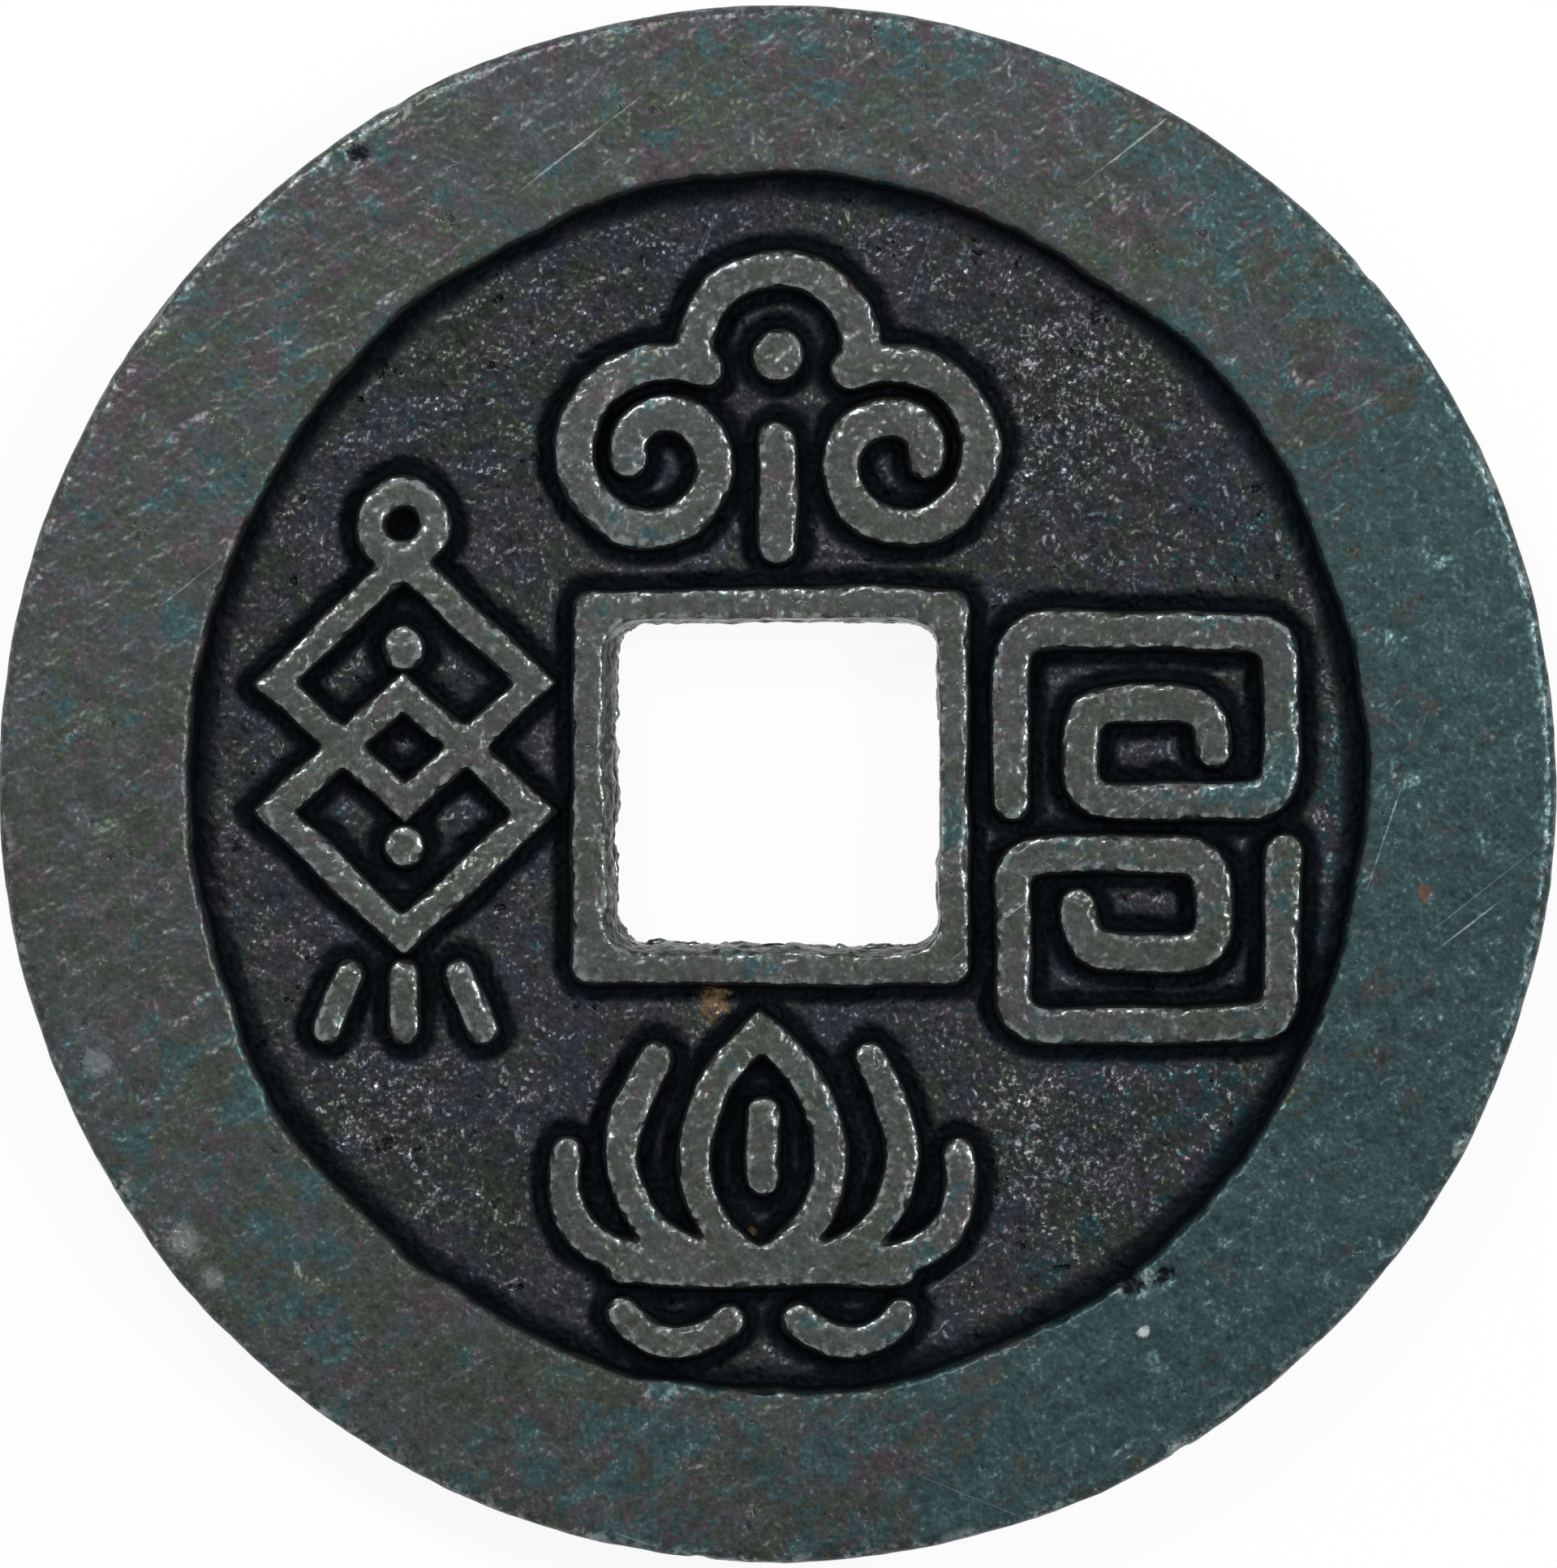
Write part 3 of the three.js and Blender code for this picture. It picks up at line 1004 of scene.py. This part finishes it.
@dataclass
class OuterRim:
    """The broad rim, spun from its section and worn on its faces, walls and edge.

    What moves the wall reaches wall_zone into the face in full, and ends edge_calm from the edge.
    What moves the edge ends edge_zone from it.
    """

    sizes: CoinSizes
    edge_bevel: float = 0.24
    wall_bevel: float = 0.11
    wall_draft: float = 0.16
    face_step: float = 0.135
    turns: int = 720
    wall_zone: float = 0.5
    edge_zone: float = 0.6
    edge_calm: float = 0.8
    wall_wander: float = 0.13
    wall_jitter: float = 0.05
    edge_wander: float = 0.024
    swell: float = 0.025
    unevenness: float = 0.02
    dent_depth: float = 0.06
    chip_depth: float = 0.13
    notch_depth: float = 0.2

    def section(self) -> bmesh.types.BMesh:
        """Draws the rim's section in the XZ plane, with rounded corners.

        Returns:
            A closed line of points about face_step apart.
        """
        sizes = self.sizes
        inner = sizes.field_reach_x
        corners = [
            (sizes.radius, 0.0),
            (sizes.radius, sizes.thickness),
            (inner + self.wall_draft, sizes.thickness),
            (inner, sizes.field_top),
            (inner, sizes.field_bottom),
            (inner + self.wall_draft, 0.0),
        ]
        line = bmesh.new()
        points = [line.verts.new((radius, 0.0, height)) for radius, height in corners]
        for first, second in zip(points, points[1:] + points[:1]):
            line.edges.new((first, second))
        for bevelled, offset in ((points[:2], self.edge_bevel), ([points[2], points[5]], self.wall_bevel)):
            bmesh.ops.bevel(
                line,
                geom=bevelled,
                affect="VERTICES",
                offset=offset,
                offset_type="OFFSET",
                segments=4,
                profile=0.5,
                material=-1,
            )
        for edge in list(line.edges):
            cuts = math.ceil(edge.calc_length() / self.face_step) - 1
            if cuts > 0:
                bmesh.ops.subdivide_edges(line, edges=[edge], cuts=cuts)
        return line

    def make(self) -> bpy.types.Object:
        """Spins the section into the rim.

        Returns:
            The rim in millimetres.
        """
        shape = self.section()
        bmesh.ops.spin(
            shape,
            geom=list(shape.verts) + list(shape.edges),
            cent=(0.0, 0.0, 0.0),
            axis=(0.0, 0.0, 1.0),
            angle=2.0 * math.pi,
            steps=self.turns,
            use_merge=True,
        )
        bmesh.ops.remove_doubles(shape, verts=shape.verts, dist=0.0005)
        bmesh.ops.recalc_face_normals(shape, faces=shape.faces)
        return new_piece("rim_casting", shape)

    def wear_down(self, piece: bpy.types.Object) -> None:
        """Makes the inner wall wander, roughens the faces and dents the edge.

        Args:
            piece: The spun rim, in millimetres.
        """
        sizes = self.sizes
        skin = Skin(piece)
        radius = np.hypot(skin.points[:, 0], skin.points[:, 1])
        outward = skin.points[:, :2] / radius[:, None]
        ring = np.column_stack([outward * sizes.radius, np.zeros(len(radius))])
        oval = 1.0 / np.hypot(outward[:, 0] / sizes.field_reach_x, outward[:, 1] / sizes.field_reach_y)
        wall = oval + self.wall_wander * grain(ring, 5.5, 2, 1) + self.wall_jitter * grain(ring, 0.9, 2, 2)
        wall_side = sizes.field_reach_x + self.wall_zone
        near_wall = 1.0 - smoothstep(radius, wall_side, sizes.radius - self.edge_calm)
        at_edge = smoothstep(radius, sizes.radius - self.edge_zone, sizes.radius - 0.1)
        edge_shift = self.edge_wander * (grain(ring, 5.0, 1, 5) - 2.0 / 3.0)
        shift = near_wall * (wall - sizes.field_reach_x) + at_edge * edge_shift
        skin.points[:, :2] += outward * shift[:, None]
        self.roughen(skin, near_wall)
        self.notch(skin)
        skin.mark("wear", skin.edge_wear())
        skin.mark("crevice", self.wall_dirt(skin.points, wall + self.wall_draft))
        skin.set_in_place()

    def roughen(self, skin: Skin, near_wall: np.ndarray) -> None:
        """Swells and dents the faces and chips the inner edge.

        Args:
            skin: The rim's skin.
            near_wall: 1 at the inner wall, down to 0 at the outer edge.
        """
        chipped = smoothstep(grain(skin.points, 0.4, 3, 11), -0.1, 0.5)
        chips = skin.edge_wear() * near_wall * chipped
        dents = smoothstep(grain(skin.points, 1.1, 2, 10), 0.45, 0.8)
        skin.push(
            self.swell * grain(skin.points, 3.2, 3, 6)
            + self.unevenness * grain(skin.points, 0.7, 3, 7)
            - self.dent_depth * dents
            - self.chip_depth * chips
        )

    def notch(self, skin: Skin) -> None:
        """Sinks the upper face where the dark notches are.

        Args:
            skin: The rim's skin.
        """
        for spot in RIM_SPOTS:
            if spot.tint == SOOT:
                distance = np.hypot(skin.points[:, 0] - spot.x, skin.points[:, 1] - spot.y)
                sunk = self.notch_depth * (1.0 - smoothstep(distance, 0.05, spot.radius))
                upper = skin.points[:, 2] > self.sizes.field_top
                skin.points[:, 2] -= sunk * upper

    def wall_dirt(self, points: np.ndarray, reach: np.ndarray) -> np.ndarray:
        """Finds how dark dirt makes the two inner walls.

        Args:
            points: Points in millimetres.
            reach: Radius of the wall's lip in each point's direction.

        Returns:
            0 on the faces and 1 at a wall's foot.
        """
        sizes = self.sizes
        radius = np.hypot(points[:, 0], points[:, 1])
        inside = 1.0 - smoothstep(radius - reach, -0.06, 0.06)
        above = (points[:, 2] - sizes.field_top) / (sizes.thickness - sizes.field_top)
        below = (sizes.field_bottom - points[:, 2]) / sizes.field_bottom
        return inside * (1.0 - smoothstep(np.maximum(above, below), 0.35, 0.95))

    def build(self, finishes: Finishes) -> bpy.types.Object:
        """Builds, wears and dresses the rim.

        Args:
            finishes: The coin's finishes.

        Returns:
            The finished rim.
        """
        piece = self.make()
        self.wear_down(piece)
        finishes.dress(piece, Slot.RIM)
        settle(piece, Slot.RIM, "outer_rim")
        return piece


@dataclass
class RaisedLine:
    """A raised island of the relief, or an inner rim: recast from its node, worn and rooted."""

    node: str
    sizes: CoinSizes
    voxel: float = 0.055
    smoothing: int = 5
    foot_flare: float = 0.07
    sink: float = 0.06
    lumps: float = 0.016
    swell: float = 0.02
    grit: float = 0.01
    chip_depth: float = 0.05
    rub_depth: float = 0.05

    def wear_down(self, piece: bpy.types.Object) -> Skin:
        """Wanders, rubs and roots the raised line.

        Args:
            piece: The recast piece, in millimetres.

        Returns:
            Its skin, not yet set in place.
        """
        sizes = self.sizes
        skin = Skin(piece)
        skin.points = cut_by_hand(skin.points)
        reverse = self.node.endswith("reverse")
        level = sizes.field_bottom if reverse else sizes.field_top
        full = sizes.field_bottom if reverse else sizes.relief_top - sizes.field_top
        height = np.abs(skin.points[:, 2] - level) / full
        normals = skin.normals()
        foot = np.exp(-height * 4.0)
        sideways = 1.0 - np.abs(normals[:, 2])
        away = np.linalg.norm(skin.points[:, :2], axis=1) > sizes.hole_half + 0.25
        amounts = self.foot_flare * foot * sideways * away
        amounts += self.lumps * grain(skin.points, 0.5, 3, 21) + self.swell * grain(skin.points, 1.6, 2, 22)
        amounts += hole_burr(skin.points, normals, sizes)
        chips = skin.edge_wear() * smoothstep(grain(skin.points, 0.35, 2, 24), 0.0, 0.5)
        amounts += self.grit * grain(skin.points, 0.2, 2, 25) - self.chip_depth * chips
        skin.push(amounts)
        worn_areas = smoothstep(grain(skin.points * [1.0, 1.0, 0.0], 2.4, 2, 23), -0.2, 0.7)
        rub_and_sheen = self.rub_depth * worn_areas
        towards = 1.0 if reverse else -1.0
        skin.points[:, 2] += towards * rub_and_sheen * smoothstep(height, 0.3, 1.0)
        skin.points[:, 2] += towards * self.sink * (1.0 - smoothstep(height, 0.0, 0.12))
        polish = hole_polish(skin.points, skin.normals(), sizes)
        skin.mark("wear", np.maximum(skin.edge_wear(), polish))
        across = np.abs(skin.points[:, :2]).max(axis=1)
        outside = smoothstep(across, sizes.hole_half + 0.15, sizes.hole_half + 0.3)
        skin.mark("crevice", outside * (1.0 - smoothstep(height, 0.35, 0.9)))
        return skin

    def build(self, frame: dict, finishes: Finishes) -> Skin:
        """Builds and dresses the raised line.

        Args:
            finishes: The coin's finishes.

        Returns:
            Its skin in millimetres, for the field to be shaped round.
        """
        piece = new_piece(f"{self.node}_casting", shape_of(frame["nodes"][self.node]))
        recast(piece, self.voxel, self.smoothing)
        skin = self.wear_down(piece)
        skin.set_in_place()
        finishes.dress(piece, Slot.RELIEF)
        settle(piece, Slot.RELIEF, self.node)
        return skin


@dataclass
class Field:
    """The sunken web, rough as cast, with a dark moat round everything that stands on it.

    A point of the relief between foot_below and foot_above of the field counts as foot. The rim
    counts as nearer by rim_nearness, and the web is tucked under it from tuck_start of its reach.
    """

    sizes: CoinSizes
    voxel: float = 0.1
    smoothing: int = 2
    moat_width: float = 0.36
    moat_depth: float = 0.07
    dirt_width: float = 0.56
    rim_nearness: float = 0.82
    foot_below: float = 0.02
    foot_above: float = 0.14
    swell: float = 0.03
    lumps: float = 0.026
    tuck: float = 0.5
    tuck_start: float = 0.972
    tuck_end: float = 0.995

    def feet(self, reliefs: list[Skin]) -> KDTree:
        """Collects where raised walls meet the field.

        Args:
            reliefs: The skins of all that stands on the obverse field.

        Returns:
            A tree of those points, laid flat.
        """
        level = self.sizes.field_top
        found = []
        for skin in reliefs:
            heights = skin.points[:, 2]
            at_foot = (heights > level - self.foot_below) & (heights < level + self.foot_above)
            found.append(skin.points[at_foot])
        points = np.concatenate(found)
        tree = KDTree(len(points))
        for index, point in enumerate(points):
            tree.insert(Vector((point[0], point[1], 0.0)), index)
        tree.balance()
        return tree

    def wear_down(self, piece: bpy.types.Object, reliefs: list[Skin]) -> None:
        """Roughens the web, sinks the moat and tucks its edge under the rim.

        Args:
            piece: The recast web, in millimetres.
            reliefs: The skins of all that stands on the obverse field.
        """
        sizes = self.sizes
        skin = Skin(piece)
        skin.points = cut_by_hand(skin.points)
        normals = skin.normals()
        reach = np.hypot(skin.points[:, 0] / sizes.field_reach_x, skin.points[:, 1] / sizes.field_reach_y)
        upper = skin.points[:, 2] > (sizes.field_top + sizes.field_bottom) / 2
        tree = self.feet(reliefs)
        flat = skin.points * np.array([1.0, 1.0, 0.0])
        to_relief = sample(flat, lambda point: tree.find(point)[2])
        to_rim = (1.0 - reach) * sizes.field_reach_x * self.rim_nearness
        to_wall = np.where(upper, np.minimum(to_relief, to_rim), to_rim)
        moat = 1.0 - smoothstep(to_wall, 0.08, self.moat_width)
        rough = self.swell * grain(skin.points, 1.5, 3, 31) + self.lumps * grain(skin.points, 0.45, 2, 32)
        skin.push(rough * (reach < 0.99) - self.moat_depth * moat + hole_burr(skin.points, normals, sizes))
        tucked = smoothstep(reach, self.tuck_start, self.tuck_end) * self.tuck
        radius = np.hypot(skin.points[:, 0], skin.points[:, 1])
        skin.points[:, :2] *= (1.0 + tucked / np.maximum(radius, 1.0))[:, None]
        polish = hole_polish(skin.points, skin.normals(), sizes)
        skin.mark("wear", np.maximum(skin.edge_wear(), polish))
        skin.mark("crevice", 1.0 - smoothstep(to_wall, 0.05, self.dirt_width))
        skin.set_in_place()

    def build(self, frame: dict, finishes: Finishes, reliefs: list[Skin]) -> bpy.types.Object:
        """Builds and dresses the web.

        Args:
            finishes: The coin's finishes.
            reliefs: The skins of all that stands on the obverse field.

        Returns:
            The finished web.
        """
        piece = new_piece("field_casting", shape_of(frame["nodes"]["field"]))
        recast(piece, self.voxel, self.smoothing)
        self.wear_down(piece, reliefs)
        finishes.dress(piece, Slot.FIELD)
        settle(piece, Slot.FIELD, "field")
        return piece


# The studio


@dataclass
class Studio:
    """A white floor, two soft lamps and a camera straight above the coin."""

    sizes: CoinSizes
    photo_width: float = 1919.0
    photo_height: float = 1932.0
    coin_centre_x: float = 958.5
    coin_centre_y: float = 965.5
    coin_width_pixels: float = 1922.0
    camera_distance: float = 0.4
    sensor: float = 0.036
    floor_half: float = 0.6
    lamp_distance: float = 0.3
    lamp_size: float = 0.08
    lamp_elevation: float = 50.0
    lamp_watts: float = 0.42
    world_light: float = 0.35
    floor_white: float = 0.92

    def camera(self) -> None:
        """Sets the camera at the photograph's view of the coin."""
        pixel = 2.0 * self.sizes.radius * MM / self.coin_width_pixels
        data = bpy.data.cameras.new("photo_view")
        data.sensor_width = self.sensor / MM
        half_height = self.photo_height / 2.0 * pixel
        data.lens = self.sensor / MM / 2.0 * self.camera_distance / half_height
        data.clip_start = 0.01
        data.clip_end = 10.0
        camera = bpy.data.objects.new("photo_view", data)
        camera.location = (
            (self.photo_width / 2.0 - self.coin_centre_x) * pixel,
            (self.coin_centre_y - self.photo_height / 2.0) * pixel,
            self.sizes.thickness * MM + self.camera_distance,
        )
        bpy.context.scene.collection.objects.link(camera)
        bpy.context.scene.camera = camera

    def lamp(self, name: str, azimuth: float) -> None:
        """Adds a soft lamp aimed at the coin.

        Args:
            name: The lamp's name.
            azimuth: Its direction in degrees, counterclockwise from +X.
        """
        data = bpy.data.lights.new(name, "AREA")
        data.shape = "SQUARE"
        data.size = self.lamp_size
        data.energy = self.lamp_watts
        lamp = bpy.data.objects.new(name, data)
        turn = math.radians(azimuth)
        rise = math.radians(self.lamp_elevation)
        direction = Vector(
            (math.cos(turn) * math.cos(rise), math.sin(turn) * math.cos(rise), math.sin(rise))
        )
        lamp.location = direction * self.lamp_distance
        lamp.rotation_mode = "QUATERNION"
        lamp.rotation_quaternion = direction.to_track_quat("Z", "Y")
        bpy.context.scene.collection.objects.link(lamp)

    def seen_directly(self, tree: bpy.types.NodeTree) -> Value:
        """Finds rays that show the background: those of the camera, of gloss and of glass.

        Args:
            tree: The tree that asks.

        Returns:
            1 on such rays and 0 on others.
        """
        path = tree.nodes.new("ShaderNodeLightPath")
        kinds = ("Is Camera Ray", "Is Glossy Ray", "Is Transmission Ray")
        camera, gloss, glass = (Value(tree, path.outputs[kind]) for kind in kinds)
        return camera.math("MAXIMUM", camera, gloss.math("MAXIMUM", gloss, glass))

    def world(self) -> None:
        """Lights the studio evenly, with a white backdrop."""
        world = bpy.data.worlds.new("studio")
        bpy.context.scene.world = world
        world.use_nodes = True
        tree = world.node_tree
        tree.nodes.clear()
        seen = self.seen_directly(tree)
        background = tree.nodes.new("ShaderNodeBackground")
        background.inputs["Color"].default_value = (1.0, 1.0, 1.0, 1.0)
        feed(tree, background.inputs["Strength"], self.world_light + seen * (1.0 - self.world_light))
        output = tree.nodes.new("ShaderNodeOutputWorld")
        tree.links.new(background.outputs[0], output.inputs["Surface"])

    def floor(self) -> None:
        """Lays a white floor that keeps the coin's shadow and can be looked through from below."""
        shape = bmesh.new()
        bmesh.ops.create_grid(shape, x_segments=1, y_segments=1, size=self.floor_half)
        bmesh.ops.translate(shape, vec=(0.0, 0.0, -0.04 * MM), verts=shape.verts)
        floor = new_piece("floor", shape)
        bench = Bench("white_floor")
        seen = self.seen_directly(bench.tree)
        matt = bench.node("ShaderNodeBsdfDiffuse", sockets={"Color": (0.9, 0.9, 0.9, 1.0)})
        white = bench.node("ShaderNodeEmission", sockets={"Color": (1.0, 1.0, 1.0, 1.0), "Strength": 1.0})
        upper = bench.node("ShaderNodeMixShader", sockets={0: seen * self.floor_white, 1: matt, 2: white})
        clear = bench.node("ShaderNodeBsdfTransparent")
        under = bench.node("ShaderNodeNewGeometry", output="Backfacing")
        surface = bench.node("ShaderNodeMixShader", sockets={0: under, 1: upper, 2: clear})
        bench.finish(surface)
        floor.data.materials.append(bench.material)

    def build(self) -> None:
        """Sets up the whole studio."""
        self.camera()
        self.world()
        self.floor()
        self.lamp("lamp_right", azimuth=8.0)
        self.lamp("lamp_upper_left", azimuth=118.0)
        bpy.context.scene.view_settings.view_transform = "Standard"


OBVERSE_RELIEF = (
    "inner_rim_obverse",
    "cloud_scroll",
    "cloud_pearl",
    "cloud_tail",
    "fret_upper",
    "fret_lower",
    "lotus_petals",
    "lotus_seed",
    "lotus_wave_left",
    "lotus_wave_right",
    "double_lozenge",
    "lozenge_pearl_upper",
    "lozenge_pearl_lower",
    "tassel_left",
    "tassel_middle",
    "tassel_right",
)


def main() -> None:
    """Builds the coin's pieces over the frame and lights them."""
    logging.basicConfig(level=logging.INFO, format="%(name)s %(message)s")
    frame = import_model()
    sizes = CoinSizes.from_frame()
    finishes = Finishes()
    reliefs = [RaisedLine(node, sizes).build(frame, finishes) for node in OBVERSE_RELIEF]
    RaisedLine("inner_rim_reverse", sizes).build(frame, finishes)
    Field(sizes).build(frame, finishes, reliefs)
    OuterRim(sizes).build(finishes)
    Studio(sizes).build()


if __name__ == "__main__":
    main()
